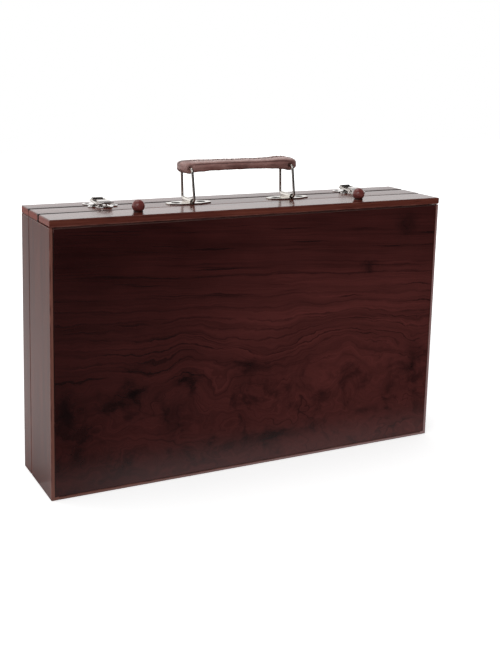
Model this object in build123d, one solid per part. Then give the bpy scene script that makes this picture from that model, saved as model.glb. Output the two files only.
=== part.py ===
"""Wooden carrying case with a hinged lid, a pull-out drawer and a folding handle.

The case stands on its hinge side.  X runs along its length, Y from the drawer side (the base
of the case when it lies down) to the lid, and Z up to the side with the handle.  The origin is
the middle of the face it stands on.  All sizes are in millimetres, angles in degrees.
"""
import os
from math import cos, hypot, radians, sin, sqrt, tan

from build123d import *

# --- case -------------------------------------------------------------------------------------
case_length = 380.0
case_depth = 80.0
case_height = 235.0
board = 6.5                # frame boards
hinge_board = 8.0          # the two boards that carry the hinges
panel = 3.3                # base and lid panels
panel_lip = 3.0            # frame edge left standing round a panel
lid_depth = 22.0
seam_gap = 0.8             # between the lid's rim and the case's rim
floor_thickness = 3.0      # floor between the tray and the drawer
floor_groove = 3.0         # how far the floor is let into the boards
divider = 3.0
tray_divider_height = 16.0
tray_divider_from_hinge = 78.0
tray_short_divider_spacing = 150.0

# --- drawer -----------------------------------------------------------------------------------
drawer_front_height = 30.6
drawer_gap = 0.8           # between the drawer front and the rail above it
drawer_reveal = 0.5        # between the drawer front and the ends of the side boards
drawer_side_play = 0.7
drawer_top_play = 0.7
drawer_bottom_play = 0.4
drawer_back_play = 0.3
drawer_board = 5.0
drawer_bottom_board = 2.5
drawer_divider_height = 19.0
drawer_divider_from_back = 74.0
drawer_short_divider_spacing = 118.0
knob_diameter = 11.0
knob_foot_drop = 0.5       # how much of the ball is cut away to seat it
knob_inset = 81.0          # knob centre from the end of the case
knob_screw_radius = 1.5
knob_screw_head = 3.0
knob_screw_head_height = 2.0
knob_screw_bite = 6.0      # how far the screw runs into the ball

# --- lid hinges -------------------------------------------------------------------------------
hinge_inset = 70.0         # hinge centre from the end of the case
hinge_length = 28.0
hinge_axis_height = 2.0
hinge_barrel_radius = 1.75
hinge_pin_radius = 0.75
hinge_leaf = 0.8
hinge_knuckle_gap = 0.3
hinge_barrel_play = 0.3    # round the barrel, in the boards and between knuckle and leaf
hinge_stop_angle = 100.0   # the bevelled rims meet here
hinge_screw_spacing = 17.0

# --- screws and pins --------------------------------------------------------------------------
fit = 0.03                 # round a screw or a fixed pin
running_fit = 0.06         # round a pin that something turns on
screw_radius = 1.0
screw_head_radius = 2.0
screw_length = 5.4
small_screw_radius = 0.7
small_screw_head_radius = 1.4
small_screw_length = 5.0
screw_point_radius = 0.25
recess_width = 0.5         # arms of the cross in a screw head
cut_over = 1.0             # how far a cutting shape runs past what it cuts
round_limit = 0.48         # the largest rounding, as a share of the thickness it rounds

# --- handle -----------------------------------------------------------------------------------
handle_spacing = 100.0     # between the two bails
handle_lean = 4.0          # from upright, towards -X
handle_plate_length = 42.0
handle_plate_width = 17.0
handle_plate_tip = 7.0
handle_plate = 1.0
handle_plate_shoulder = 18.0
handle_plate_round = 2.8
handle_screw_spacing = 24.0
tunnel_wall = 0.8
wire_radius = 1.15
wire_play = 0.3            # round the wire in its tunnel and in the grip
bail_axis_height = 2.8     # above the case
bail_height = 28.5
bail_foot_width = 25.6
bail_top_width = 22.4
bail_bend = 2.6
grip_length = 117.0
grip_end_width = 19.0
grip_waist_width = 14.6
grip_thickness = 11.0
grip_below_wire = 3.9
grip_round = 4.4
grip_corner = 7.0
grip_pocket_radius = 2.7   # mouth of the hole for the wire
grip_pocket_depth = 1.8
core_width = 10.0
core_thickness = 1.2
core_eye_wall = 1.0
core_play = 0.1

# --- latches ----------------------------------------------------------------------------------
latch_inset = 63.0         # latch centre from the end of the case
latch_plate = 0.9
latch_plate_edge = 0.8     # from the plate to the rim of its board
latch_wing_radius = 3.9
latch_wing_spacing = 19.0
latch_wing_from_rim = 6.0
latch_tongue_radius = 8.4
latch_tongue_from_rim = 8.0
latch_band_width = 22.0
latch_band_depth = 8.0
keeper_wing_from_rim = 7.4
keeper_tongue_radius = 7.0
keeper_tongue_from_rim = 7.8
keeper_lip_from_rim = 3.2
keeper_lip_length = 1.6
keeper_lip_slope = 0.9
keeper_lip_height = 0.7
keeper_lip_width = 8.4
lever_pivot_from_rim = 4.8
lever_pivot_height = 3.0
lever_pin_radius = 0.8
lever_width = 10.4
lever_sheet = 0.9
lever_lip_width = 15.2
lever_lip_radius = 9.6
lever_lip_from_loop = 2.8  # the lip widens this far in front of the loop's pivot
lever_length = 11.4        # pivot to the end of the lip
lever_boss_radius = 1.6
lever_back = 0.3           # how far its sheet runs past the pivot, towards the lid
lever_flat = 5.1           # pivot to where the sheet bends down
lever_valley = 9.1         # pivot to where it bends up again
lever_valley_drop = 1.45
lever_edge_rise = 0.7
ear_sheet = 0.8
ear_play = 0.4
ear_radius = 1.3
loop_pivot_arm = 5.0       # lever pivot to loop pivot
loop_wire_radius = 0.9
loop_reach = 18.2          # loop pivot to the loop's cross wire
loop_play = 0.6            # between the lever and the loop's arms
loop_end = 2.0             # how far the wire ends reach in past the lever's cheeks' outer faces
sleeve_radius = 2.2
sleeve_length = 9.2
sleeve_above_lip = 0.3

# --- worked out -------------------------------------------------------------------------------
left, right = -case_length / 2, case_length / 2
front, rear = -case_depth / 2, case_depth / 2
seam = rear - lid_depth
case_rim, lid_rim = seam - seam_gap / 2, seam + seam_gap / 2
side_top = case_height - board
panel_back = front + panel
drawer_front_top = front + drawer_front_height
floor_low = drawer_front_top + drawer_gap
floor_high = floor_low + floor_thickness
rail_middle = (floor_low + case_rim) / 2
hinge_places = (left + hinge_inset, right - hinge_inset)
latch_places = (left + latch_inset, right - latch_inset)
knob_places = (left + knob_inset, right - knob_inset)
handle_places = (-handle_spacing / 2, handle_spacing / 2)
knob_row = (front + drawer_front_top) / 2
drawer_low, drawer_high = panel_back + drawer_bottom_play, floor_low - drawer_top_play
drawer_half = right - board - drawer_side_play
drawer_back = hinge_board + drawer_back_play
drawer_front_back = side_top + drawer_reveal
bail_axis = case_height + bail_axis_height
lever_top = lever_pivot_height + ear_radius + ear_play + lever_sheet
tunnel_radius = wire_radius + wire_play
grip_shift = -bail_height * sin(radians(handle_lean))
grip_axis = bail_axis + bail_height * cos(radians(handle_lean))
SIDES = ("left", "right")


# --- helpers ----------------------------------------------------------------------------------
def block(x0, x1, y0, y1, z0, z1):
    """A box between two opposite corners."""
    middle = ((x0 + x1) / 2, (y0 + y1) / 2, (z0 + z1) / 2)
    return Pos(*middle) * Box(x1 - x0, y1 - y0, z1 - z0)


def rod(radius, length, at, along="z"):
    """A cylinder centred at a point, with its axis along x, y or z."""
    turn = {"x": Rot(0, 90, 0), "y": Rot(90, 0, 0), "z": Rot(0, 0, 0)}[along]
    return Pos(*at) * turn * Cylinder(radius, length)


def prism(outline, low, high):
    """A flat face in XY, raised between two heights."""
    return Pos(0, 0, low) * extrude(outline, high - low)


def side_prism(points, width):
    """A polygon of (y, z) points, extended by width along X about x = 0."""
    face = make_face(Polyline(*[(0, y, z) for y, z in points], close=True))
    return extrude(face, width / 2, dir=(1, 0, 0), both=True)


def sheet(points, thickness):
    """The outline of a bent strip of even thickness, from its middle line of (y, z) points."""
    def normal(a, b):
        size = hypot(b[0] - a[0], b[1] - a[1])
        return (a[1] - b[1]) / size, (b[0] - a[0]) / size

    steps = [normal(a, b) for a, b in zip(points, points[1:])]
    over, under = [], []
    for i, (y, z) in enumerate(points):
        before, after = steps[max(i - 1, 0)], steps[min(i, len(steps) - 1)]
        ny, nz = before[0] + after[0], before[1] + after[1]
        reach = thickness / (ny * ny + nz * nz)
        over.append((y + ny * reach, z + nz * reach))
        under.append((y - ny * reach, z - nz * reach))
    return over + under[::-1]


def screw(radius, head_radius, length):
    """A countersunk screw with its head's face at the origin, pointing down."""
    head_depth = head_radius - radius
    head = Pos(0, 0, -head_depth / 2) * Cone(radius, head_radius, head_depth)
    tip = 2 * radius
    shank_length = length - head_depth - tip
    shank = Pos(0, 0, -head_depth - shank_length / 2) * Cylinder(radius, shank_length)
    point = Pos(0, 0, -length + tip / 2) * Cone(screw_point_radius, radius, tip)
    arm = 2 * (head_radius - recess_width)
    cross = Box(arm, recess_width, recess_width) + Box(recess_width, arm, recess_width)
    return head + shank + point - cross


def screw_hole(radius, head_radius, length):
    """The space for a screw of the same sizes, with a fit round it."""
    bore = radius + fit
    depth = head_radius - radius
    head = Pos(0, 0, -depth / 2) * Cone(bore, head_radius + fit, depth)
    above = Pos(0, 0, depth / 2) * Cylinder(head_radius + fit, depth)
    shank = Pos(0, 0, -(length + fit) / 2) * Cylinder(bore, length + fit)
    return head + above + shank


def wood_screw():
    return screw(screw_radius, screw_head_radius, screw_length)


def wood_screw_hole():
    return screw_hole(screw_radius, screw_head_radius, screw_length)


def group(shapes):
    """Several separate solids in one node."""
    return Compound(children=list(shapes))


# --- places of the screws ---------------------------------------------------------------------
def handle_screw_places():
    """Screw heads lie level with the tops of the handle plates."""
    return [
        Pos(x + step, rail_middle, case_height + handle_plate)
        for x in handle_places
        for step in (-handle_screw_spacing / 2, handle_screw_spacing / 2)
    ]


def wing_places(row):
    """Screw heads in the wings of the latch plates whose wings lie at this y."""
    return [
        Pos(x + step, row, case_height + latch_plate)
        for x in latch_places
        for step in (-latch_wing_spacing / 2, latch_wing_spacing / 2)
    ]


latch_wing_row = case_rim - latch_wing_from_rim
keeper_wing_row = lid_rim + keeper_wing_from_rim
hinge_screw_height = (hinge_axis_height + hinge_barrel_radius + hinge_board) / 2


def hinge_screw_places(side):
    """Screw heads lie level with a rim: side -1 for the case's rim, +1 for the lid's."""
    rim = case_rim if side < 0 else lid_rim
    turn = Rot(-90, 0, 0) if side < 0 else Rot(90, 0, 0)
    return [
        Pos(x + step, rim, hinge_screw_height) * turn
        for x in hinge_places
        for step in (-hinge_screw_spacing / 2, hinge_screw_spacing / 2)
    ]


def small_screw():
    return screw(small_screw_radius, small_screw_head_radius, small_screw_length)


def small_screw_hole():
    return screw_hole(small_screw_radius, small_screw_head_radius, small_screw_length)


# --- case -------------------------------------------------------------------------------------
def panel_space(y0, y1, top):
    """The room that a base or lid panel takes, inside the lips of its frame."""
    return block(left + panel_lip, right - panel_lip, y0, y1, panel_lip, top)


def floor_space():
    """The room that the floor between tray and drawer takes, in its grooves."""
    half = right - board + floor_groove
    return block(-half, half, floor_low, floor_high,
                 hinge_board - floor_groove, side_top + floor_groove)


def base_panel():
    return panel_space(front, panel_back, side_top)


def tray_floor():
    return floor_space()


def hinge_bevel(side):
    """What is planed off below the hinge axis: side -1 for the case's rim, +1 for the lid's."""
    slope = tan(radians(hinge_stop_angle / 2))
    low, high = -cut_over, hinge_axis_height
    spread = side * (high - low) * slope
    return side_prism([(seam, high), (seam + spread, low), (seam, low)],
                      case_length + 2 * cut_over)


def case_side(side):
    """A side board, side -1 for the left one and +1 for the right one."""
    x0, x1 = sorted((side * right, side * (right - board)))
    plain = block(x0, x1, front, case_rim, 0, side_top) - hinge_bevel(-1)
    return plain - base_panel() - floor_space()


def latch_rail():
    """The rail above the drawer, which carries the handle and the latches."""
    plain = block(left, right, floor_low, case_rim, side_top, case_height)
    holes = [place * wood_screw_hole()
             for place in handle_screw_places() + wing_places(latch_wing_row)]
    return plain - floor_space() - holes


def hinge_side_board(y0, y1, side):
    """A board between the side boards: bevelled along its rim and cut for the hinges."""
    rim = case_rim if side < 0 else lid_rim
    inner = right - board
    plain = block(-inner, inner, y0, y1, 0, hinge_board) - hinge_bevel(side)
    for x in hinge_places:
        half = hinge_length / 2 + fit
        into = sorted((rim, rim + side * (hinge_leaf + fit)))
        plain -= block(x - half, x + half, *into, 0, hinge_board)
        plain -= rod(hinge_barrel_radius + hinge_barrel_play, 2 * half,
                     (x, seam, hinge_axis_height), "x")
    return plain - [place * small_screw_hole() for place in hinge_screw_places(side)]


def case_hinge_board():
    return hinge_side_board(front, case_rim, -1) - base_panel() - floor_space()


def tray_dividers():
    """One long divider along X, and two short ones between it and the rail."""
    top = floor_high + tray_divider_height
    row = hinge_board + tray_divider_from_hinge
    inner = right - board
    long_one = block(-inner, inner, floor_high, top, row, row + divider)
    short_ones = [
        block(x - divider / 2, x + divider / 2, floor_high, top, row + divider, side_top)
        for x in (-tray_short_divider_spacing / 2, tray_short_divider_spacing / 2)
    ]
    return long_one, short_ones


# --- lid --------------------------------------------------------------------------------------
def lid_panel():
    return panel_space(rear - panel, rear, case_height - panel_lip)


def lid_side(side):
    x0, x1 = sorted((side * right, side * (right - board)))
    return block(x0, x1, lid_rim, rear, 0, side_top) - hinge_bevel(1) - lid_panel()


def lid_latch_rail():
    plain = block(left, right, lid_rim, rear, side_top, case_height)
    holes = [place * wood_screw_hole() for place in wing_places(keeper_wing_row)]
    return plain - lid_panel() - holes


def lid_hinge_board():
    return hinge_side_board(lid_rim, rear, 1) - lid_panel()


# --- lid hinges -------------------------------------------------------------------------------
def knuckle_spans():
    """The X spans of the three knuckles, about the hinge's middle: case, lid, case."""
    share = (hinge_length - 2 * hinge_knuckle_gap) / 3
    starts = [-hinge_length / 2 + i * (share + hinge_knuckle_gap) for i in range(3)]
    return [(start, start + share) for start in starts]


def hinge_leaf_solid(x, side):
    """One leaf with its knuckles, side -1 for the case's leaf and +1 for the lid's."""
    rim = case_rim if side < 0 else lid_rim
    spans = knuckle_spans()
    mine = [spans[0], spans[2]] if side < 0 else [spans[1]]
    others = [spans[1]] if side < 0 else [spans[0], spans[2]]
    bore = hinge_pin_radius + (fit if side < 0 else running_fit)
    faces = sorted((rim, rim + side * hinge_leaf))
    half = hinge_length / 2
    leaf = block(-half, half, *faces, hinge_axis_height, hinge_board)
    for start, end in others:
        room = (start + end) / 2
        leaf -= rod(hinge_barrel_radius + hinge_barrel_play,
                    end - start + 2 * hinge_knuckle_gap, (room, seam, hinge_axis_height), "x")
    for start, end in mine:
        leaf += rod(hinge_barrel_radius, end - start,
                    ((start + end) / 2, seam, hinge_axis_height), "x")
    leaf -= rod(bore, hinge_length + 2 * cut_over, (0, seam, hinge_axis_height), "x")
    leaf = Pos(x, 0, 0) * leaf
    return leaf - [place * small_screw_hole() for place in hinge_screw_places(side)]


def hinge_pin(x):
    return rod(hinge_pin_radius, hinge_length, (x, seam, hinge_axis_height), "x")


# --- drawer -----------------------------------------------------------------------------------
def drawer_front():
    plain = block(left, right, front, drawer_front_top, drawer_front_back, case_height)
    middle = (drawer_front_back + case_height) / 2
    holes = [rod(knob_screw_radius + fit, board, (x, knob_row, middle))
             for x in knob_places]
    return plain - holes


def drawer_side(side):
    x0, x1 = sorted((side * drawer_half, side * (drawer_half - drawer_board)))
    return block(x0, x1, drawer_low + drawer_bottom_board, drawer_high,
                 drawer_back, drawer_front_back)


def drawer_back_board():
    inner = drawer_half - drawer_board
    return block(-inner, inner, drawer_low + drawer_bottom_board, drawer_high,
                 drawer_back, drawer_back + drawer_board)


def drawer_bottom():
    return block(-drawer_half, drawer_half, drawer_low, drawer_low + drawer_bottom_board,
                 drawer_back, drawer_front_back)


def drawer_dividers():
    """One long divider along X, and two short ones between it and the drawer's back."""
    low = drawer_low + drawer_bottom_board
    top = low + drawer_divider_height
    inner = drawer_half - drawer_board
    inside_back = drawer_back + drawer_board
    row = inside_back + drawer_divider_from_back
    long_one = block(-inner, inner, low, top, row, row + divider)
    short_ones = [
        block(x - divider / 2, x + divider / 2, low, top, row + divider, drawer_front_back)
        for x in (-drawer_short_divider_spacing / 2, drawer_short_divider_spacing / 2)
    ]
    return long_one, short_ones


def knob(x):
    """A turned ball with a small flat foot on the drawer front."""
    radius = knob_diameter / 2
    centre = case_height + radius - knob_foot_drop
    ball = Pos(x, knob_row, centre) * Sphere(radius)
    below = block(x - radius, x + radius, knob_row - radius, knob_row + radius,
                  case_height - radius, case_height)
    bore = rod(knob_screw_radius + fit, 2 * (knob_screw_bite + fit), (x, knob_row, case_height))
    return ball - below - bore


def knob_screw(x):
    """A round-headed screw from inside the drawer, through its front into the ball."""
    length = case_height - drawer_front_back + knob_screw_bite
    shank = rod(knob_screw_radius, length, (x, knob_row, drawer_front_back + length / 2))
    dome = Pos(x, knob_row, drawer_front_back) * Sphere(knob_screw_head)
    dome &= block(x - knob_screw_head, x + knob_screw_head, knob_row - knob_screw_head,
                  knob_row + knob_screw_head, drawer_front_back - knob_screw_head_height,
                  drawer_front_back)
    return shank + dome


# --- handle -----------------------------------------------------------------------------------
def handle_plate_solid(x):
    """A plate with tapered ends and a raised tunnel for the bail's foot."""
    half, shoulder = handle_plate_length / 2, handle_plate_shoulder / 2
    wide, tip = handle_plate_width / 2, handle_plate_tip / 2
    corners = [(-half, -tip), (-shoulder, -wide), (shoulder, -wide), (half, -tip),
               (half, tip), (shoulder, wide), (-shoulder, wide), (-half, tip)]
    outline = make_face(Polyline(*corners, close=True))
    outline = fillet(outline.vertices(), handle_plate_round)
    plate = prism(outline, 0, handle_plate)
    outer = tunnel_radius + tunnel_wall
    for radius, add in ((outer, True), (tunnel_radius, False)):
        arch = rod(radius, handle_plate_width, (0, 0, bail_axis_height), "y")
        arch += block(-radius, radius, -wide, wide, 0, bail_axis_height)
        plate = plate + arch if add else plate - arch
    plate = Pos(x, rail_middle, case_height) * plate
    return plate - [place * wood_screw_hole() for place in handle_screw_places()]


def bail(x):
    """A closed loop of wire, wider at its foot, leaning with the handle."""
    foot, top = bail_foot_width / 2, bail_top_width / 2
    corners = [(0, -foot, 0), (0, foot, 0), (0, top, bail_height), (0, -top, bail_height)]
    path = FilletPolyline(*corners, radius=bail_bend, close=True)
    start = path @ 0
    loop = sweep(Plane(start, z_dir=path % 0) * Circle(wire_radius), path=path)
    return Pos(x, rail_middle, bail_axis) * Rot(0, -handle_lean, 0) * loop


def core_shape(extra):
    """A steel strip with an eye rolled at each end, grown on all sides by extra."""
    eye = tunnel_radius + core_eye_wall
    half = handle_spacing / 2
    width = core_width + 2 * extra
    strip_low = eye - core_thickness
    shape = block(-half, half, -width / 2, width / 2, strip_low - extra, eye + extra)
    for x in (-half, half):
        shape += rod(eye + extra, width, (x, 0, 0), "y")
    return shape


def grip_place():
    return Pos(grip_shift, rail_middle, grip_axis)


def grip_core():
    bores = [rod(tunnel_radius, core_width + 2 * cut_over, (x, 0, 0), "y") for x in handle_places]
    return grip_place() * (core_shape(0) - bores)


def grip_cover():
    """The padded cover round the core: wider at its ends than at its waist."""
    half, end, waist = grip_length / 2, grip_end_width / 2, grip_waist_width / 2
    sides = [ThreePointArc((-half, y), (0, y * waist / end), (half, y)) for y in (-end, end)]
    ends = [Line((x, -end), (x, end)) for x in (-half, half)]
    outline = make_face(sides + ends)
    outline = fillet(outline.vertices(), grip_corner)
    cover = prism(outline, -grip_below_wire, grip_thickness - grip_below_wire)
    rims = cover.edges().filter_by(lambda e: abs(e.tangent_at(0.5).Z) < 0.5)
    cover = fillet(rims, min(grip_round, round_limit * grip_thickness))
    cover -= core_shape(core_play)
    deep = end - grip_pocket_depth
    for x in handle_places:
        cover -= rod(tunnel_radius, grip_end_width + 2 * cut_over, (x, 0, 0), "y")
        for side in (-1, 1):
            middle = side * (deep + end) / 2
            cover -= rod(grip_pocket_radius, end - deep, (x, middle, 0), "y")
    return grip_place() * cover


# --- latches ----------------------------------------------------------------------------------
def latch_outline(side, wing_from_rim, tongue_radius, tongue_from_rim):
    """The plan of a latch plate: a band along the rim, two wings and a rounded tongue.
    Drawn about the latch's middle, with y measured from the board's rim."""
    band_low, band_high = latch_plate_edge, latch_plate_edge + latch_band_depth
    band = Pos(0, side * (band_low + band_high) / 2) * Rectangle(latch_band_width,
                                                                 latch_band_depth)
    wings = [Pos(x, side * wing_from_rim) * Circle(latch_wing_radius)
             for x in (-latch_wing_spacing / 2, latch_wing_spacing / 2)]
    tongue = Pos(0, side * tongue_from_rim) * Circle(tongue_radius)
    return band + wings[0] + wings[1] + tongue


def lever_pivot(x):
    return x, case_rim - lever_pivot_from_rim, case_height + lever_pivot_height


def loop_pivot(x):
    return x, case_rim - lever_pivot_from_rim - loop_pivot_arm, case_height + lever_pivot_height


def latch_base(x):
    """The plate on the case, with two ears that hold the lever's pin."""
    outline = latch_outline(-1, latch_wing_from_rim, latch_tongue_radius, latch_tongue_from_rim)
    plate = Pos(0, case_rim, 0) * prism(outline, 0, latch_plate)
    row = case_rim - lever_pivot_from_rim
    outer = lever_width / 2 - lever_sheet - ear_play
    for x0, x1 in ((-outer, ear_sheet - outer), (outer - ear_sheet, outer)):
        plate += block(x0, x1, row - ear_radius, row + ear_radius,
                       latch_plate, lever_pivot_height)
        plate += rod(ear_radius, ear_sheet, ((x0 + x1) / 2, row, lever_pivot_height), "x")
    plate -= rod(lever_pin_radius + fit, 2 * outer, (0, row, lever_pivot_height), "x")
    plate = Pos(x, 0, case_height) * plate
    return plate - [place * wood_screw_hole() for place in wing_places(latch_wing_row)]


def lever_pin(x):
    return rod(lever_pin_radius, lever_width, lever_pivot(x), "x")


def latch_lever(x):
    """A bent sheet with two cheeks: it turns on the ears and carries the loop."""
    pivot, top = lever_pivot_height, lever_top - lever_sheet / 2
    end = -lever_length
    valley = top - lever_valley_drop
    line = [(lever_back, top), (-lever_flat, top), (-lever_valley, valley),
            (end, valley + lever_edge_rise)]
    plan = Rectangle(lever_width, 2 * loop_pivot_arm)
    lip = Pos(0, end + lever_lip_radius) * Circle(lever_lip_radius)
    lip_depth = lever_length - loop_pivot_arm - lever_lip_from_loop
    lip &= Pos(0, end) * Rectangle(lever_lip_width, 2 * lip_depth)
    lever = side_prism(sheet(line, lever_sheet), lever_lip_width)
    bridge = Pos(0, -lever_valley / 2) * Rectangle(lever_width, lever_valley)
    lever &= prism(plan + bridge + lip, 0, lever_top + lever_length)
    for side in (-1, 1):
        x1, x0 = side * lever_width / 2, side * (lever_width / 2 - lever_sheet)
        middle, width = (x0 + x1) / 2, abs(x1 - x0)
        cheek = rod(lever_boss_radius, width, (middle, 0, pivot), "x")
        cheek += rod(lever_boss_radius, width, (middle, -loop_pivot_arm, pivot), "x")
        cheek += block(min(x0, x1), max(x0, x1), -loop_pivot_arm, 0,
                       pivot - lever_boss_radius, top)
        lever += cheek
    lever -= rod(lever_pin_radius + running_fit, 2 * lever_width, (0, 0, pivot), "x")
    lever -= rod(loop_wire_radius + running_fit, 2 * lever_width,
                 (0, -loop_pivot_arm, pivot), "x")
    return Pos(x, case_rim - lever_pivot_from_rim, case_height) * lever


def sleeve_height():
    """The sleeve's axis, above the case's top: it stays clear of the keeper's lip."""
    return latch_plate + keeper_lip_height + sleeve_above_lip + sleeve_radius


def loop_rise():
    return sleeve_height() - lever_pivot_height


def loop_run():
    return sqrt(loop_reach ** 2 - loop_rise() ** 2)


def latch_loop(x):
    """A wire loop: its ends turn in through the lever's cheeks."""
    arm = lever_width / 2 + loop_play + loop_wire_radius
    inner = lever_width / 2 - loop_end
    near, far = (0, 0), (loop_run(), loop_rise())
    corners = [(inner, *near), (arm, *near), (arm, *far),
               (-arm, *far), (-arm, *near), (-inner, *near)]
    path = FilletPolyline(*corners, radius=loop_play + loop_wire_radius)
    loop = sweep(Plane(path @ 0, z_dir=path % 0) * Circle(loop_wire_radius), path=path)
    return Pos(*loop_pivot(x)) * loop


def latch_sleeve(x):
    """A short tube on the loop's cross wire, which bears on the keeper."""
    _, row, level = loop_pivot(x)
    at = (x, row + loop_run(), level + loop_rise())
    return rod(sleeve_radius, sleeve_length, at, "x") - rod(
        loop_wire_radius + fit, sleeve_length + 2 * cut_over, at, "x")


def keeper(x):
    """The plate on the lid, with a low lip turned up for the sleeve."""
    outline = latch_outline(1, keeper_wing_from_rim, keeper_tongue_radius,
                            keeper_tongue_from_rim)
    plate = Pos(0, lid_rim, 0) * prism(outline, 0, latch_plate)
    start = lid_rim + keeper_lip_from_rim
    top = latch_plate + keeper_lip_height
    plate += side_prism([(start, 0), (start + keeper_lip_slope, top),
                         (start + keeper_lip_length, top), (start + keeper_lip_length, 0)],
                        keeper_lip_width)
    plate = Pos(x, 0, case_height) * plate
    return plate - [place * wood_screw_hole() for place in wing_places(keeper_wing_row)]


# --- all pieces -------------------------------------------------------------------------------
def pieces():
    tray_long, tray_short = tray_dividers()
    drawer_long, drawer_short = drawer_dividers()
    nodes = {
        "latch_rail": latch_rail(),
        "case_hinge_board": case_hinge_board(),
        "base_panel": base_panel(),
        "tray_floor": tray_floor(),
        "tray_long_divider": tray_long,
        "tray_short_dividers": group(tray_short),
        "lid_latch_rail": lid_latch_rail(),
        "lid_hinge_board": lid_hinge_board(),
        "lid_panel": lid_panel(),
        "drawer_front": drawer_front(),
        "drawer_back": drawer_back_board(),
        "drawer_bottom": drawer_bottom(),
        "drawer_long_divider": drawer_long,
        "drawer_short_dividers": group(drawer_short),
        "grip_core": grip_core(),
        "grip_cover": grip_cover(),
        "handle_screws": group(place * wood_screw() for place in handle_screw_places()),
        "latch_base_screws": group(place * wood_screw()
                                   for place in wing_places(latch_wing_row)),
        "keeper_screws": group(place * wood_screw() for place in wing_places(keeper_wing_row)),
        "hinge_case_screws": group(place * small_screw() for place in hinge_screw_places(-1)),
        "hinge_lid_screws": group(place * small_screw() for place in hinge_screw_places(1)),
        "knob_screws": group(knob_screw(x) for x in knob_places),
    }
    for i, name in enumerate(SIDES):
        side = (-1, 1)[i]
        nodes[f"case_{name}_side"] = case_side(side)
        nodes[f"lid_{name}_side"] = lid_side(side)
        nodes[f"drawer_{name}_side"] = drawer_side(side)
        nodes[f"knob_{name}"] = knob(knob_places[i])
        nodes[f"hinge_{name}_case_leaf"] = hinge_leaf_solid(hinge_places[i], -1)
        nodes[f"hinge_{name}_lid_leaf"] = hinge_leaf_solid(hinge_places[i], 1)
        nodes[f"hinge_{name}_pin"] = hinge_pin(hinge_places[i])
        nodes[f"handle_plate_{name}"] = handle_plate_solid(handle_places[i])
        nodes[f"bail_{name}"] = bail(handle_places[i])
        nodes[f"latch_base_{name}"] = latch_base(latch_places[i])
        nodes[f"latch_pin_{name}"] = lever_pin(latch_places[i])
        nodes[f"latch_lever_{name}"] = latch_lever(latch_places[i])
        nodes[f"latch_loop_{name}"] = latch_loop(latch_places[i])
        nodes[f"latch_sleeve_{name}"] = latch_sleeve(latch_places[i])
        nodes[f"keeper_{name}"] = keeper(latch_places[i])
    return nodes


os.makedirs("parts", exist_ok=True)
for node, shape in pieces().items():
    export_step(shape, f"parts/{node}.step")
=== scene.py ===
# %% [markdown]
# # A wooden carrying case with a lid, a drawer and a folding handle
# The case is a flat box of stained boards that stands on its hinge side. The constructor's model
# gives every board, hinge, screw and latch at its true size, and this lesson dresses it: the
# arrises of the boards are eased, the veneer gets its figure, the handle gets a padded cover with
# a sewn slit, and the metal gets its plating. Lengths are in metres, because Blender is.

from math import atan, cos, exp, pi, radians, sin, sqrt

import bmesh
import bpy
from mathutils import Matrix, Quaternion, Vector, noise


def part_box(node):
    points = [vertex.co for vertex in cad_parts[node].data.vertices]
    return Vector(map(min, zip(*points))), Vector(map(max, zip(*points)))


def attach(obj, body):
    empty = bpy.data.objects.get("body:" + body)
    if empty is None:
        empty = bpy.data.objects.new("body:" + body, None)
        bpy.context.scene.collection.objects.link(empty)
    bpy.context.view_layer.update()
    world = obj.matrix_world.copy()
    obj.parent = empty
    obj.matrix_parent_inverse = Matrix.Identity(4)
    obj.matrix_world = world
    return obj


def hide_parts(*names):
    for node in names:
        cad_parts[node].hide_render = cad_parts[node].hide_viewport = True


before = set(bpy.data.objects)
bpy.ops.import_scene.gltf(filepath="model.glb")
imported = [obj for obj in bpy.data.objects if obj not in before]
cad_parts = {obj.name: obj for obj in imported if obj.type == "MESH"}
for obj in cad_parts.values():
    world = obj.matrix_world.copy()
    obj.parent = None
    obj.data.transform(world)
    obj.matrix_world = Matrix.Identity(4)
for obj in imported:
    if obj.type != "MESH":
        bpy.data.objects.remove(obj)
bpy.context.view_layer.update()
scene = bpy.context.scene
mm = 0.001

# %% [markdown]
# ## The camera
# A small object is pictured from a good arm's length with a portrait lens, so that its far end
# doesn't shrink too much. Here the camera stands to the left of the case and a little above it.
# A small shift of the film lets it look almost level, which keeps the upright edges upright
# without pushing the case out of the picture. The image is 500 x 667, and Blender measures the
# sensor and the shift along the longer side.

# %% The camera
case_middle = Vector((0, 0, 0.12))
camera_place = Vector((-424.5, -813.1, 375.6)) * mm
camera_azimuth, camera_elevation, camera_roll = radians(-26.60), radians(10.16), radians(1.25)
bpy.ops.object.camera_add(location=camera_place)
camera = bpy.context.object
camera.name = "portrait_camera"
camera.data.lens = 55.74
camera.data.shift_x, camera.data.shift_y = 0.04, -0.16
camera.rotation_mode = "QUATERNION"
camera.rotation_quaternion = (Quaternion((0, 0, 1), camera_azimuth)
                              @ Quaternion((1, 0, 0), pi / 2 - camera_elevation)
                              @ Quaternion((0, 0, 1), camera_roll))
scene.camera = camera
print("camera:", round((camera_place - case_middle).length, 2), "m from the case")

# %% [markdown]
# ## Small tools
# A material in Blender is a tree of nodes. Written out in full, each node takes four or five
# lines, so short helpers add a node, or a few that belong together, with its settings and links
# in one call. The same goes for selecting: most operators act on whatever is selected, so a
# helper selects one object alone.

# %% Helpers for nodes
def set_inputs(node, inputs):
    """Links a node's inputs to sockets, or gives them values."""
    for key, value in inputs.items():
        if isinstance(value, bpy.types.NodeSocket):
            node.id_data.links.new(value, node.inputs[key])
        else:
            node.inputs[key].default_value = value


def add_node(tree, kind, inputs=None, **settings):
    """Adds a shader node, sets its properties, and fills or links its inputs."""
    made = tree.nodes.new("ShaderNode" + kind)
    for key, value in settings.items():
        setattr(made, key, value)
    set_inputs(made, inputs or {})
    return made


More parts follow.
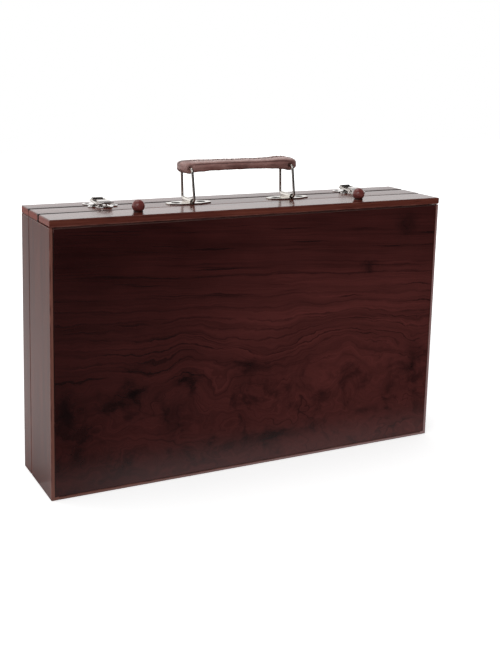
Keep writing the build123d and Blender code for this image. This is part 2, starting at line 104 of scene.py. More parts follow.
def tree_of(*values):
    """The tree of the first socket among the values."""
    return next(value.id_data for value in values if isinstance(value, bpy.types.NodeSocket))


def maths(operation, a, b=0.0, clamp=False):
    return add_node(tree_of(a, b), "Math", {0: a, 1: b}, operation=operation,
                    use_clamp=clamp).outputs[0]


def product(*values):
    """All the values multiplied together."""
    result = values[0]
    for value in values[1:]:
        result = maths("MULTIPLY", result, value)
    return result


def swing(pattern, size):
    """A pattern between 0 and 1 made to swing about 0, by half of size to each side."""
    return product(maths("SUBTRACT", pattern, 0.5), size)


# The Mix node has inputs of every type: 2 and 3 are its values, 6 and 7 its colours.
def blend_values(factor, first, second):
    return add_node(tree_of(factor), "Mix", {0: factor, 2: first, 3: second}).outputs[0]


def blend_colours(factor, first, second, mode="MIX"):
    return add_node(tree_of(factor, first, second), "Mix", {0: factor, 6: first, 7: second},
                    data_type="RGBA", blend_type=mode).outputs[2]


def grey(value):
    return (value, value, value, 1.0)


def ramp(factor, *stops):
    """A colour ramp from (position, colour) stops."""
    made = add_node(tree_of(factor), "ValToRGB", {"Fac": factor})
    points = made.color_ramp.elements
    points[0].position, points[0].color = stops[0]
    points[1].position, points[1].color = stops[-1]
    for position, colour in stops[1:-1]:
        points.new(position).color = colour
    return made.outputs[0]


def shaded(amount, colour, pattern, *stops):
    """A colour made darker or lighter by a pattern, with (position, grey value) stops."""
    greys = ramp(pattern, *((position, grey(value)) for position, value in stops))
    return blend_colours(amount, colour, greys, "MULTIPLY")


def from_to(value, low, high, first, last, interpolation="SMOOTHSTEP"):
    """first below low, last above high, and smooth between unless told otherwise."""
    inputs = {"Value": value, "From Min": low, "From Max": high, "To Min": first, "To Max": last}
    return add_node(tree_of(value), "MapRange", inputs, interpolation_type=interpolation).outputs[0]


def on_piece(tree):
    """A point's place on its piece, as one vector socket."""
    return add_node(tree, "TexCoord").outputs["Object"]


def x_y_z(vector):
    return add_node(tree_of(vector), "SeparateXYZ", {0: vector}).outputs


def stretched(tree, scales, shift=(0, 0, 0)):
    """The place on the piece, scaled apart along X, Y and Z."""
    return add_node(tree, "Mapping", {"Vector": on_piece(tree), "Scale": scales,
                                      "Location": shift}).outputs[0]


def speckle(tree, scales, shift=(0, 0, 0), detail=3.0, roughness=0.5, distortion=0.0):
    """Noise whose grain is 1/scale metres long along each axis."""
    return add_node(tree, "TexNoise", {"Vector": stretched(tree, scales, shift), "Scale": 1.0,
                                       "Detail": detail, "Roughness": roughness,
                                       "Distortion": distortion}).outputs["Fac"]


def rays(tree):
    """Two sockets: 1 where the camera looks directly, and 1 where a gloss mirrors."""
    path = add_node(tree, "LightPath").outputs
    return path["Is Camera Ray"], maths("MAXIMUM", path["Is Glossy Ray"],
                                        path["Is Transmission Ray"])


def new_material(name):
    """A material with a Principled shader: returns the material, its tree and the shader."""
    material = bpy.data.materials.new(name)
    material.use_nodes = True
    tree = material.node_tree
    return material, tree, tree.nodes["Principled BSDF"]


def roughen(shader, height, depth, strength):
    """Small relief in the surface, depth metres between a height of 0 and 1."""
    bump = add_node(shader.id_data, "Bump", {"Height": height, "Strength": strength,
                                             "Distance": depth})
    set_inputs(shader, {"Normal": bump.outputs[0]})


# %% Helpers for objects
def only(obj):
    bpy.ops.object.select_all(action="DESELECT")
    obj.select_set(True)
    bpy.context.view_layer.objects.active = obj


def edit(obj, choose=None, kind="EDGE"):
    """Opens an object in edit mode, with the parts selected that choose says."""
    only(obj)
    bpy.ops.object.mode_set(mode="EDIT")
    bpy.ops.mesh.select_mode(type=kind)
    bpy.ops.mesh.select_all(action="DESELECT")
    if choose is None:
        bpy.ops.mesh.select_all(action="SELECT")
        return
    bm = bmesh.from_edit_mesh(obj.data)
    for part in {"VERT": bm.verts, "EDGE": bm.edges}[kind]:
        if choose(part):
            part.select = True
    bm.select_flush_mode()
    bmesh.update_edit_mesh(obj.data)


def close_edit():
    bpy.ops.object.mode_set(mode="OBJECT")


def settle(obj):
    """Writes the object's place, turn and size into its mesh."""
    only(obj)
    bpy.ops.object.transform_apply(location=True, rotation=True, scale=True)


def apply_all(obj):
    only(obj)
    for modifier in list(obj.modifiers):
        bpy.ops.object.modifier_apply(modifier=modifier.name)


def dress(obj, body, slot, *materials):
    """Gives a piece its materials and its body.

    Clearing the list of materials sets every face back to the first one, so the number of each
    face's material is kept and written again. The slot argument is not used.
    """
    chosen = [face.material_index for face in obj.data.polygons]
    obj.data.materials.clear()
    for material in materials:
        obj.data.materials.append(material)
    obj.data.polygons.foreach_set("material_index", chosen)
    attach(obj, body)


# %% [markdown]
# ## Light and ground
# The case stands on a plain pale floor in soft, even light. The floor is a diffuse sheet, so that
# it keeps the case's shadow, and for the camera it glows a little, so that it reads as white.
# The world does three jobs, told apart by the Light Path node: the camera sees white, the lacquer
# and the metal mirror a white studio whose side behind the camera is dark, and everything else
# receives a plain grey light. The dark side matters: polished metal looks like metal only if it
# has something dark to mirror as well as something bright. The floor does the same. In a gloss it
# is light close to the foot of the case and at its left, and dark elsewhere.

# %% The floor
floor_half = 2.5
near_glow, far_glow = 0.58, 1.0
glow_starts, glow_ends = 0.35, 1.1
plain_floor, mirrored_glow = 0.86, 0.36
bpy.ops.mesh.primitive_plane_add(size=2 * floor_half, location=(0, 0, -0.0002))
floor = bpy.context.object
floor.name = "studio_floor"
settle(floor)
floor_paint, tree, shader = new_material("studio_floor_paint")
at_camera, in_gloss = rays(tree)
along, deep, _ = x_y_z(on_piece(tree))
at_foot = product(from_to(deep, -0.125, -0.045, 0.04, 0.95),
                  maths("LESS_THAN", deep, 0.0),
                  from_to(along, -0.20, -0.09, 0.42, 1.0),
                  from_to(along, -0.03, 0.08, 1.0, 0.84),
                  from_to(along, 0.08, 0.24, 1.0, 0.60))
at_left = product(from_to(along, -0.24, -0.14, 0.78, 0.04),
                  from_to(along, -0.46, -0.26, 0.80, 1.0),
                  maths("GREATER_THAN", deep, -0.12))
mirrored = maths("MAXIMUM", at_foot, at_left)
away = add_node(tree, "VectorMath", {0: on_piece(tree)}, operation="LENGTH").outputs["Value"]
glow = product(at_camera, from_to(away, glow_starts, glow_ends, near_glow, far_glow))
glow = maths("ADD", glow, product(in_gloss, at_foot, mirrored_glow))
set_inputs(shader, {"Base Color": blend_values(in_gloss, plain_floor, mirrored),
                    "Roughness": 0.9, "Specular IOR Level": 0.0,
                    "Emission Color": grey(1.0), "Emission Strength": glow})
floor.data.materials.append(floor_paint)

# %% The world
ambient = 0.42
dark_side, bright_side = 0.025, 1.13
world = bpy.data.worlds.new("studio_air")
scene.world = world
world.use_nodes = True
tree = world.node_tree
tree.nodes.clear()
at_camera, in_gloss = rays(tree)
to_right, to_back, upward = x_y_z(add_node(tree, "TexCoord").outputs["Generated"])
wall_behind = product(from_to(to_back, 0.10, 0.55, 0.0, bright_side),
                      from_to(upward, 0.34, 0.70, 1.0, 0.22),
                      from_to(to_right, 0.22, 0.64, 1.10, 0.94))
wall_left = product(from_to(to_right, -0.85, -0.45, 0.90, 0.0),
                    from_to(upward, 0.40, 0.85, 1.0, 0.25))
mirrored = maths("MAXIMUM", maths("MAXIMUM", wall_behind, wall_left), dark_side)
strength = blend_values(in_gloss, ambient, mirrored)
strength = blend_values(at_camera, strength, 1.0)
air = add_node(tree, "Background", {"Color": grey(1.0), "Strength": strength})
add_node(tree, "OutputWorld", {"Surface": air.outputs[0]})


# %% The lamps
def lamp(name, place, size, power):
    """A square lamp that shines at the middle of the case."""
    bpy.ops.object.light_add(type="AREA", location=place)
    made = bpy.context.object
    made.name = name
    made.data.size = size
    made.data.energy = power
    made.rotation_mode = "QUATERNION"
    made.rotation_quaternion = (case_middle - Vector(place)).to_track_quat("-Z", "Y")


lamp("window_left", (-1.3, -1.5, 1.5), 1.3, 13)
lamp("window_above", (-0.3, 0.6, 2.0), 1.6, 12)
scene.view_settings.view_transform = "Standard"

# %% [markdown]
# ## Stained boards
# The frame is cut from a plain, straight-grained hardwood, stained red-brown and sprayed with a
# clear lacquer. The grain runs along each board, so the pattern is noise that is stretched long
# in one direction and packed close in the other two. At a board's ends the same noise is cut
# across, which gives the fine dots of end grain without any extra work. The lacquer is the
# Principled shader's own gloss: looked at along the surface it mirrors the studio and turns pale,
# and looked at squarely it lets the stain show. On the front faces of the low and upright boards
# the stain is worn to a paler brown, and a painted sheen lightens it further from left to right.
# The dark in the joints between the boards is painted shade.

# %% Stained board material
STAIN_DARK = (0.066, 0.0125, 0.0085, 1)
STAIN = (0.128, 0.0285, 0.0180, 1)
STAIN_LIGHT = (0.195, 0.0530, 0.0320, 1)
END_GRAIN = (0.420, 0.1350, 0.1050, 1)
END_PORES = (0.170, 0.0380, 0.0280, 1)
# Painted shade: the dark of the gaps where two boards meet.
JOINT_SHADE = (0.014, 0.0035, 0.003, 1)
# The front faces: worn stain at the left, and a painted sheen that makes it pale and greyish at the
# right.
FRONT_WORN_LEFT = (0.200, 0.080, 0.060, 1)
FRONT_WORN_SHEEN_RIGHT = (0.370, 0.230, 0.225, 1)
PORE_STOPS = ((0.33, 0.45), (0.42, 1.0))
# The rows, from front to back, where two boards of the top meet.
JOINT_ROWS = [(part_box(near)[1].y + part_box(far)[0].y) / 2
              for near, far in (("drawer_front", "latch_rail"), ("latch_rail", "lid_latch_rail"))]
case_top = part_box("latch_rail")[1].z


def along_and_across(along, across, axis):
    """Scales for a pattern that is long along one axis: 0 is X, 2 is Z."""
    return tuple(along if i == axis else across for i in range(3))


def near_row(tree, row, reach, soft, strength):
    """strength where Y is within reach of a joint's row, and 0 beyond a soft edge."""
    away = maths("ABSOLUTE", maths("SUBTRACT", x_y_z(on_piece(tree))["Y"], row))
    return from_to(away, reach, reach + soft, strength, 0.0)


def stained_board(name, axis, gloss=0.20, specular=0.5, worn_and_sheen_front=False):
    material, tree, shader = new_material(name)
    streaks = speckle(tree, along_and_across(7, 330, axis), (3, 1, 2), 4, 0.6)
    pores = speckle(tree, along_and_across(40, 1500, axis), (7, 5, 1), 2, 0.6)
    clouds = speckle(tree, along_and_across(5, 22, axis), (1, 8, 3), 2, 0.5)
    colour = ramp(streaks, (0.30, STAIN_DARK), (0.52, STAIN), (0.74, STAIN_LIGHT))
    colour = shaded(1.0, colour, clouds, (0.30, 0.78), (0.70, 1.14))
    colour = shaded(0.8, colour, pores, *PORE_STOPS)
    facing = x_y_z(add_node(tree, "TexCoord").outputs["Normal"])
    at_end = maths("GREATER_THAN", maths("ABSOLUTE", facing[axis]), 0.8)
    end = ramp(pores, (0.38, END_PORES), (0.60, END_GRAIN))
    # Painted shade: the end faces are dark at the drawer's joint, where its gap lies in shade.
    end = blend_colours(near_row(tree, JOINT_ROWS[0], 1.0 * mm, 0.8 * mm, 0.95), end, JOINT_SHADE)
    colour = blend_colours(product(at_end, 0.9), colour, end)
    # The faces that look into a joint are painted dark near the top: painted shade in the joint.
    along, _, height = x_y_z(on_piece(tree))
    in_joint = maths("MAXIMUM", *(near_row(tree, row, 0.5 * mm, 0.3 * mm, 0.95)
                                  for row in JOINT_ROWS))
    near_top = from_to(height, case_top - 4 * mm, case_top - 2 * mm, 0.0, 1.0)
    colour = blend_colours(product(in_joint, near_top), colour, JOINT_SHADE)
    # The front faces: stain worn paler, and a painted sheen that lightens them from left to right.
    if worn_and_sheen_front:
        pale_and_sheen = from_to(along, -0.20, 0.16, 0.0, 1.0)
        pale_and_sheen = blend_colours(pale_and_sheen, FRONT_WORN_LEFT, FRONT_WORN_SHEEN_RIGHT)
        pale_and_sheen = shaded(0.5, pale_and_sheen, pores, *PORE_STOPS)
        in_front = maths("LESS_THAN", facing["Y"], -0.8)
        colour = blend_colours(product(in_front, 0.9), colour, pale_and_sheen)
    set_inputs(shader, {"Base Color": colour, "IOR": 1.5, "Specular IOR Level": specular,
                        "Roughness": blend_values(at_end, gloss, 0.55)})
    roughen(shader, pores, 0.004 * mm, 0.6)
    return material


board_x = stained_board("stained_board_lengthwise", 0, specular=0.22)
board_front = stained_board("stained_board_drawer", 0, specular=0.58)
board_low = stained_board("stained_board_low", 0, worn_and_sheen_front=True)
board_z = stained_board("stained_board_upright", 2, 0.22, 0.38, worn_and_sheen_front=True)
board_lid = stained_board("stained_board_lid_sides", 2, 0.22, 0.58)

# %% Rubbed edge material
EDGE_DARK = (0.060, 0.012, 0.009, 1)
EDGE = (0.130, 0.034, 0.024, 1)
EDGE_PALE = (0.240, 0.082, 0.058, 1)


def worn_edge_and_joint_shade(name, axis, joint_shade):
    """The eased arris of a stained board: stain rubbed thin outside, and painted shade where it
    looks into a joint.
    """
    material, tree, shader = new_material(name)
    patches = speckle(tree, along_and_across(60, 200, axis), (2, 6, 4), 4, 0.65)
    colour = ramp(patches, (0.32, EDGE_DARK), (0.46, EDGE), (0.70, EDGE_PALE))
    # Painted shade in the joints: the joint behind the drawer gapes towards its ends and is painted
    # darkest there.
    from_middle = maths("ABSOLUTE", x_y_z(on_piece(tree))["X"])
    gaping = from_to(from_middle, 0.09, 0.15, 0.20, 0.96)
    for row, strength in zip(JOINT_ROWS, (gaping, 0.88)):
        dark = product(near_row(tree, row, 3.2 * mm, 0.8 * mm, strength), joint_shade)
        colour = blend_colours(dark, colour, JOINT_SHADE)
    set_inputs(shader, {"Base Color": colour, "Roughness": 0.38})
    roughen(shader, patches, 0.05 * mm, 0.6)
    return material


edge_x = worn_edge_and_joint_shade("rubbed_edge_lengthwise", 0, 1.0)
edge_z = worn_edge_and_joint_shade("rubbed_edge_upright", 2, 0.35)

# %% [markdown]
# ## Boards with eased arrises
# A saw leaves an arris sharp, and sandpaper takes it off. Less than a millimetre is enough: it
# catches the light along every edge of the case, and draws the fine dark line where two boards
# meet. Where the lid closes on the rail both edges are rounder, and the drawer's front falls away
# a little towards its ends, so that its joint gapes. The constructor's boards already have their
# rebates, grooves and hinge recesses, so each one is copied, its triangles are merged into clean
# flat faces, its long sharp edges are picked out in code, and a bevel rounds them. The bevel gives
# the new faces the second material.

# %% Eased copies of the constructor's pieces
SHARP, SMOOTH = radians(38), radians(32)
# Where the drawer front's back starts to fall away at each side, in X, and by how much.
GAPING_ENDS = {-1: (-70 * mm, 2.3 * mm), 1: (90 * mm, 1.7 * mm)}
panel_low, panel_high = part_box("base_panel")


def merged_copy(node, name):
    """A copy of a CAD node as one welded mesh with whole flat faces."""
    piece = bpy.data.objects.new(name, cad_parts[node].data.copy())
    scene.collection.objects.link(piece)
    edit(piece)
    bpy.ops.mesh.remove_doubles(threshold=0.002 * mm)
    bpy.ops.mesh.dissolve_limited(angle_limit=radians(0.5))
    close_edit()
    only(piece)
    bpy.ops.mesh.customdata_custom_splitnormals_clear()
    return piece


def is_sharp(edge, shortest):
    return (len(edge.link_faces) == 2 and edge.calc_length() > shortest
            and edge.calc_face_angle(0.0) > SHARP)


def at_lid_joint(edge):
    """An upper edge of the joint between the rail and the lid, which is rounded more."""
    return all(abs(v.co.y - JOINT_ROWS[1]) < 1 * mm and v.co.z > case_top - 3 * mm
               for v in edge.verts)


def at_panel_top(edge):
    """The upper front edge of the big panel, below the drawer."""
    return all(v.co.y < panel_low.y + 0.5 * mm and v.co.z > panel_high.z - 2.5 * mm
               for v in edge.verts)


def gaping_ends(piece):
    """Planes the back of the drawer front away towards its ends, where the joint gapes."""
    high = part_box("drawer_front")[1]
    for x, _ in GAPING_ENDS.values():
        edit(piece)
        bpy.ops.mesh.bisect(plane_co=(x, 0, 0), plane_no=(1, 0, 0))
        close_edit()
    for side, (_, planed) in GAPING_ENDS.items():
        edit(piece, lambda v: v.co.y > high.y - 0.2 * mm and side * v.co.x > high.x - 40 * mm,
             "VERT")
        bpy.ops.transform.translate(value=(0, -planed, 0))
        close_edit()


def eased(node, name, body, slot, width, shortest, materials, first=None, shaped=None):
    """Replaces a CAD node with a copy of it whose long sharp edges are rounded.

    first is a wider rounding for the edges that it chooses, made before the others, and
    shaped is a function that changes the copy before any edge is rounded.
    """
    piece = merged_copy(node, name)
    if shaped:
        shaped(piece)
    dress(piece, body, slot, *materials)    # a bevel can only use a material that is there
    for offset, choose in ([first] if first else []) + [(width, lambda edge: True)]:
        edit(piece, lambda e: is_sharp(e, shortest) and choose(e))
        bpy.ops.mesh.bevel(offset=offset, segments=2, profile=0.5, affect="EDGES",
                           clamp_overlap=False, material=1)
        close_edit()
    only(piece)
    bpy.ops.object.shade_smooth_by_angle(angle=SMOOTH)
    flat = piece.modifiers.new("flat_faces", "WEIGHTED_NORMAL")
    flat.mode, flat.weight, flat.keep_sharp = "FACE_AREA", 100, True
    apply_all(piece)
    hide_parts(node)


arris, lid_joint_arris, shortest_arris = 0.80 * mm, 2.3 * mm, 6 * mm
boards = {"latch_rail": ("case", board_x, edge_x),
          "case_hinge_board": ("case", board_low, edge_x),
          "drawer_front": ("drawer", board_front, edge_x),
          "lid_latch_rail": ("lid", board_x, edge_x),
          "lid_hinge_board": ("lid", board_x, edge_x),
          "case_left_side": ("case", board_z, edge_z),
          "case_right_side": ("case", board_z, edge_z),
          "lid_left_side": ("lid", board_lid, edge_z),
          "lid_right_side": ("lid", board_lid, edge_z)}
for node, (body, wood, edge) in boards.items():
    eased(node, node + "_board", body, "stained_board", arris, shortest_arris, (wood, edge),
          first=(lid_joint_arris, at_lid_joint) if node.endswith("latch_rail") else None,
          shaped=gaping_ends if node == "drawer_front" else None)
print("boards:", len(boards))

# %% [markdown]
# ## The figured panels
# The two big faces are plywood with a rotary-cut veneer. A rotary cut peels the log like paper
# off a roll, so the growth rings come out as the contour lines of a hilly surface: straight and
# close where the log was even, and curling into islands round each bump. The material does
# exactly that. It makes a height that climbs up the panel, adds slow noise and a few round
# swellings, and draws fine dark lines along the contours of that height. Low down, where the
# figure is wildest, short curls and small clouds of stain are added.

# %% Figured veneer material
VENEER_LINE = (0.0075, 0.0019, 0.0022, 1)
VENEER_DARK = (0.0175, 0.0015, 0.0014, 1)
VENEER_RED = (0.0930, 0.0192, 0.0168, 1)
PLY_DARK = (0.100, 0.042, 0.036, 1)
PLY_PALE = (0.170, 0.080, 0.070, 1)
PLY_SHADE = (0.020, 0.005, 0.004, 1)
GRAIN_FALL = 0.06          # how steeply the grain falls towards +X
# Each swelling of the log: X and Z, half-length, half-height and lift of the rings, in mm.
SWELLINGS = ((-68, 116, 17, 26, 13), (18, 106, 30, 28, -15), (88, 116, 24, 26, 10),
             (-142, 100, 20, 20, 6), (-70, 66, 14, 17, 27), (-38, 76, 13, 15, -17),
             (98, 66, 11, 24, 34), (46, 68, 14, 14, 17), (70, 46, 11, 14, -16),
             (-150, 58, 14, 17, 21), (-104, 66, 14, 12, -13), (148, 58, 14, 15, 19),
             (-118, 34, 16, 12, 16), (-24, 44, 15, 12, 17), (10, 52, 12, 12, -14),
             (20, 20, 22, 10, 12), (126, 26, 18, 10, 12), (168, 110, 16, 20, -7),
             (66, 188, 44, 16, 6), (-150, 176, 40, 14, -3))
# Each smudge: X and Z, half-length, half-height in mm, and its strength.
SMUDGES = ((-117, 85, 9, 7, 1.0), (-136, 75, 14, 4, 0.8), (-178, 74, 10, 18, 0.9),
           (-72, 89, 10, 5, 0.9), (-62, 84, 5, 9, 0.7), (-12, 93, 15, 5, 0.7),
           (19, 26, 24, 7, 0.8), (155, 212, 12, 11, 0.6), (170, 78, 8, 16, 0.6),
           (115, 174, 8, 4, 0.6), (69, 56, 12, 5, 0.5), (145, 55, 10, 8, 0.5),
           (-41, 33, 8, 4, 0.6), (-80, 58, 13, 14, 0.5), (-124, 24, 6, 8, 0.6),
           (-168, 36, 7, 11, 0.6), (-120, 104, 12, 4, 0.5))
# A few rings are darker than the rest: the height of each in mm, and how strong it is.
DARK_RINGS = ((114.0, 1.0), (106.0, 0.5), (119.0, 0.45), (125.5, 0.6), (132.0, 0.4),
              (139.0, 0.6), (149.0, 0.5), (158.0, 0.35), (175.5, 0.8), (186.0, 0.35),
              (97.0, 0.45), (84.0, 0.3), (61.0, 0.35))


def soft_spot(place, x, z, half_x, half_z):
    """A round spot: 1 in its middle, falling smoothly to 0."""
    tree = tree_of(place)
    away = add_node(tree, "Mapping", {"Vector": place, "Location": (-x / half_x, 0, -z / half_z),
                                      "Scale": (1000 / half_x, 0, 1000 / half_z)}).outputs[0]
    away = add_node(tree, "VectorMath", {0: away}, operation="LENGTH").outputs["Value"]
    return maths("EXPONENT", product(maths("POWER", away, 2.0), -1.0))


def growth(along, ring, per_x, per_ring, detail):
    """Noise that runs along the rings: long in X and close from ring to ring."""
    tree = tree_of(along)
    spot = add_node(tree, "CombineXYZ", {"X": product(along, per_x), "Y": 0.3,
                                         "Z": product(ring, per_ring)})
    return add_node(tree, "TexNoise", {"Vector": spot.outputs[0], "Scale": 1.0, "Detail": detail,
                                       "Roughness": 0.55}).outputs["Fac"]


def figured_panel(name):
    material, tree, shader = new_material(name)
    place = on_piece(tree)
    along, _, height = x_y_z(place)
    low_part = from_to(height, 0.060, 0.112, 1.0, 0.0)
    # The rings' height: level and even at the top, rolling and wrinkled lower down.
    lively = from_to(height, 0.075, 0.205, 1.0, 0.16)
    rolling = speckle(tree, (11, 9, 19), (2.2, 0, 5.1), 1.0, 0.4)
    wrinkles = speckle(tree, (46, 9, 75), (6.3, 0, 1.7), 3.0, 0.55)
    curls = speckle(tree, (58, 9, 74), (2.9, 0, 4.4), 1.0, 0.5, 0.4)
    lift = maths("ADD", swing(rolling, 30 * mm), swing(wrinkles, 17 * mm))
    lift = maths("ADD", lift, product(low_part, swing(curls, 38 * mm)))
    for x, z, half_x, half_z, rise in SWELLINGS:
        spot = soft_spot(place, x, z, half_x, half_z)
        lift = maths("ADD", lift, product(spot, rise * mm))
    ring = maths("ADD", height, product(along, GRAIN_FALL))
    ring = maths("SUBTRACT", ring, product(lift, lively))
    # The ground colour: near black at the top left, redder to the right and lower down.
    ground = product(from_to(along, -0.19, 0.07, 0.29, 0.94),
                     from_to(height, 0.13, 0.225, 1.0, 0.44))
    cloud = speckle(tree, (9, 6, 17), (1.5, 0, 7.9), 3.0, 0.55)
    ground = maths("ADD", ground, swing(cloud, 0.75), clamp=True)
    colour = blend_colours(ground, VENEER_DARK, VENEER_RED)
    bands = growth(along, ring, 6, 120, 2.0)
    colour = shaded(1.0, colour, bands, (0.34, 0.84), (0.62, 1.12))
    fibre = growth(along, ring, 16, 820, 3.0)
    colour = shaded(1.0, colour, fibre, (0.32, 0.86), (0.68, 1.14))
    # Thin dark lines, some long, most of them short.
    thin = growth(along, ring, 12, 380, 1.0)
    lines = ramp(thin, (0.27, grey(1.0)), (0.37, grey(0.0)))
    broken = speckle(tree, (30, 9, 60), (3.1, 0, 8.8), 2.0, 0.6)
    for middle, strength in DARK_RINGS:
        off = maths("ABSOLUTE", maths("SUBTRACT", ring, middle * mm))
        line = product(from_to(off, 0.2 * mm, 1.1 * mm, strength, 0.0),
                       from_to(broken, 0.36, 0.54, 0.15, 1.0))
        lines = maths("MAXIMUM", lines, line)
    # Short curls in the lower third: where a slow noise passes its middle value.
    curl = speckle(tree, (34, 9, 42), (7.7, 0, 2.6), 1.5, 0.5, 0.5)
    curl = maths("ABSOLUTE", maths("SUBTRACT", curl, 0.5))
    curl = product(from_to(curl, 0.004, 0.075, 0.46, 0.0),
                   from_to(broken, 0.50, 0.64, 0.0, 1.0), low_part)
    lines = product(lines, from_to(height, 0.055, 0.105, 0.55, 1.0))
    lines = maths("MAXIMUM", lines, curl)
    colour = blend_colours(product(lines, 0.62), colour, VENEER_LINE)
    # Between the curls the stain gathers in small clouds with a broken outline.
    smoke = speckle(tree, (36, 9, 44), (4.6, 0, 9.3), 4.0, 0.6, 0.6)
    smoke = product(from_to(smoke, 0.50, 0.68, 0.0, 0.55), low_part)
    colour = blend_colours(smoke, colour, VENEER_LINE)
    # Smudges, where a bud left the wood dark. Their outlines are torn by the wrinkles.
    tear = add_node(tree, "TexNoise", {"Vector": stretched(tree, (55, 9, 75)), "Scale": 1.0,
                                       "Detail": 4.0, "Roughness": 0.65}).outputs["Color"]
    tear = add_node(tree, "VectorMath", {0: tear, 1: (0.5, 0.5, 0.5)},
                    operation="SUBTRACT").outputs[0]
    torn = add_node(tree, "VectorMath", {0: tear, 1: (34 * mm, 0.0, 24 * mm), 2: place},
                    operation="MULTIPLY_ADD").outputs[0]
    for x, z, half_x, half_z, strength in SMUDGES:
        spot = soft_spot(torn, x, z, half_x, half_z)
        colour = blend_colours(product(spot, strength), colour, VENEER_LINE)
    set_inputs(shader, {"Base Color": colour, "Roughness": 0.24, "Specular IOR Level": 0.4})
    relief = maths("SUBTRACT", fibre, product(lines, 0.6))
    roughen(shader, relief, 0.02 * mm, 0.5)
    return material


veneer = figured_panel("figured_veneer")

# %% The panels, with the plies showing at their edges
panel_edge, tree, shader = new_material("panel_edge_plies")
plies = speckle(tree, (30, 900, 900), (3, 3, 3), 3, 0.6)
colour = ramp(plies, (0.35, PLY_DARK), (0.65, PLY_PALE))
# Painted shade: the arrises are painted dark below the panel's top; only the upper arris, below the
# drawer, keeps the colour of the plies.
top_share = from_to(x_y_z(on_piece(tree))["Z"], 0.2240, 0.2262, 0.0, 1.0)
colour = blend_colours(top_share, PLY_SHADE, colour)
set_inputs(shader, {"Base Color": colour, "Roughness": 0.4})
panel_arris, panel_top_arris = 0.55 * mm, 1.0 * mm
for node, body in {"base_panel": "case", "lid_panel": "lid"}.items():
    eased(node, node + "_veneered", body, "figured_panel", panel_arris, shortest_arris,
          (veneer, panel_edge), first=(panel_top_arris, at_panel_top))

# %% [markdown]
# ## Bare wood inside
# The floor of the tray, the drawer and the dividers are thin boards of pale wood with only a thin
# coat of oil. It is the same recipe as for the stained boards with other colours and less gloss.

# %% Inner wood material
INNER_DARK = (0.270, 0.125, 0.070, 1)
INNER = (0.370, 0.190, 0.115, 1)
INNER_PALE = (0.460, 0.265, 0.170, 1)


def inner_wood(name, axis):
    material, tree, shader = new_material(name)
    streaks = speckle(tree, along_and_across(9, 260, axis), (2, 4, 6), 4, 0.6)
    clouds = speckle(tree, along_and_across(7, 40, axis), (5, 1, 1), 2, 0.5)
    pores = speckle(tree, along_and_across(60, 1300, axis), (1, 5, 9), 2, 0.6)
    colour = ramp(streaks, (0.28, INNER_DARK), (0.52, INNER), (0.75, INNER_PALE))
    colour = shaded(1.0, colour, clouds, (0.3, 0.86), (0.7, 1.06))
    colour = shaded(0.6, colour, pores, (0.33, 0.72), (0.44, 1.0))
    set_inputs(shader, {"Base Color": colour, "Roughness": 0.55})
    roughen(shader, streaks, 0.06 * mm, 0.6)
    return material


inner_x, inner_z = inner_wood("inner_wood_lengthwise", 0), inner_wood("inner_wood_upright", 2)
inner_pieces = {"tray_floor": ("case", inner_x), "tray_long_divider": ("case", inner_x),
                "tray_short_dividers": ("case", inner_z), "drawer_back": ("drawer", inner_x),
                "drawer_bottom": ("drawer", inner_x), "drawer_left_side": ("drawer", inner_z),
                "drawer_right_side": ("drawer", inner_z),
                "drawer_long_divider": ("drawer", inner_x),
                "drawer_short_dividers": ("drawer", inner_z)}
inner_arris, shortest_inner_arris = 0.35 * mm, 2 * mm
for node, (body, wood) in inner_pieces.items():
    eased(node, node + "_board", body, "inner_wood", inner_arris, shortest_inner_arris,
          (wood, wood))

# %% [markdown]
# ## Turned knobs
# Each knob is a small ball of the same stained wood. A ball that comes off a lathe isn't quite a
# sphere: it stands on a little foot, with a fine groove where the tool parted them. So its half
# outline is drawn in the XZ plane and spun round the upright axis, as the lathe does.

# %% Knob wood material
KNOB_DARK = (0.105, 0.022, 0.020, 1)
KNOB = (0.185, 0.043, 0.038, 1)
KNOB_PALE = (0.260, 0.078, 0.068, 1)
KNOB_FOOT_SHADE = (0.024, 0.008, 0.005, 1)
knob_wood, tree, shader = new_material("turned_knob_wood")
streaks = speckle(tree, (90, 260, 420), (3, 3, 3), 3, 0.6)
colour = ramp(streaks, (0.28, KNOB_DARK), (0.50, KNOB), (0.74, KNOB_PALE))
knob_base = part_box("knob_left")[0].z
height = x_y_z(on_piece(tree))["Z"]
# Painted shade: the foot and the bottom of the ball are painted dark, where the knob stands on the
# drawer.
foot = from_to(height, knob_base + 0.8 * mm, knob_base + 3.0 * mm, 0.92, 0.0)
colour = blend_colours(foot, colour, KNOB_FOOT_SHADE)
set_inputs(shader, {"Base Color": colour, "Roughness": 0.22})
roughen(shader, streaks, 0.04 * mm, 0.5)

# %% Knobs
foot_share, groove_share = 0.74, 0.69       # of the ball's radius
foot_height, groove_height = 0.7 * mm, 0.95 * mm
ball_start, ball_sweep, ball_steps = radians(-43), radians(133), 22
steps_round = 48


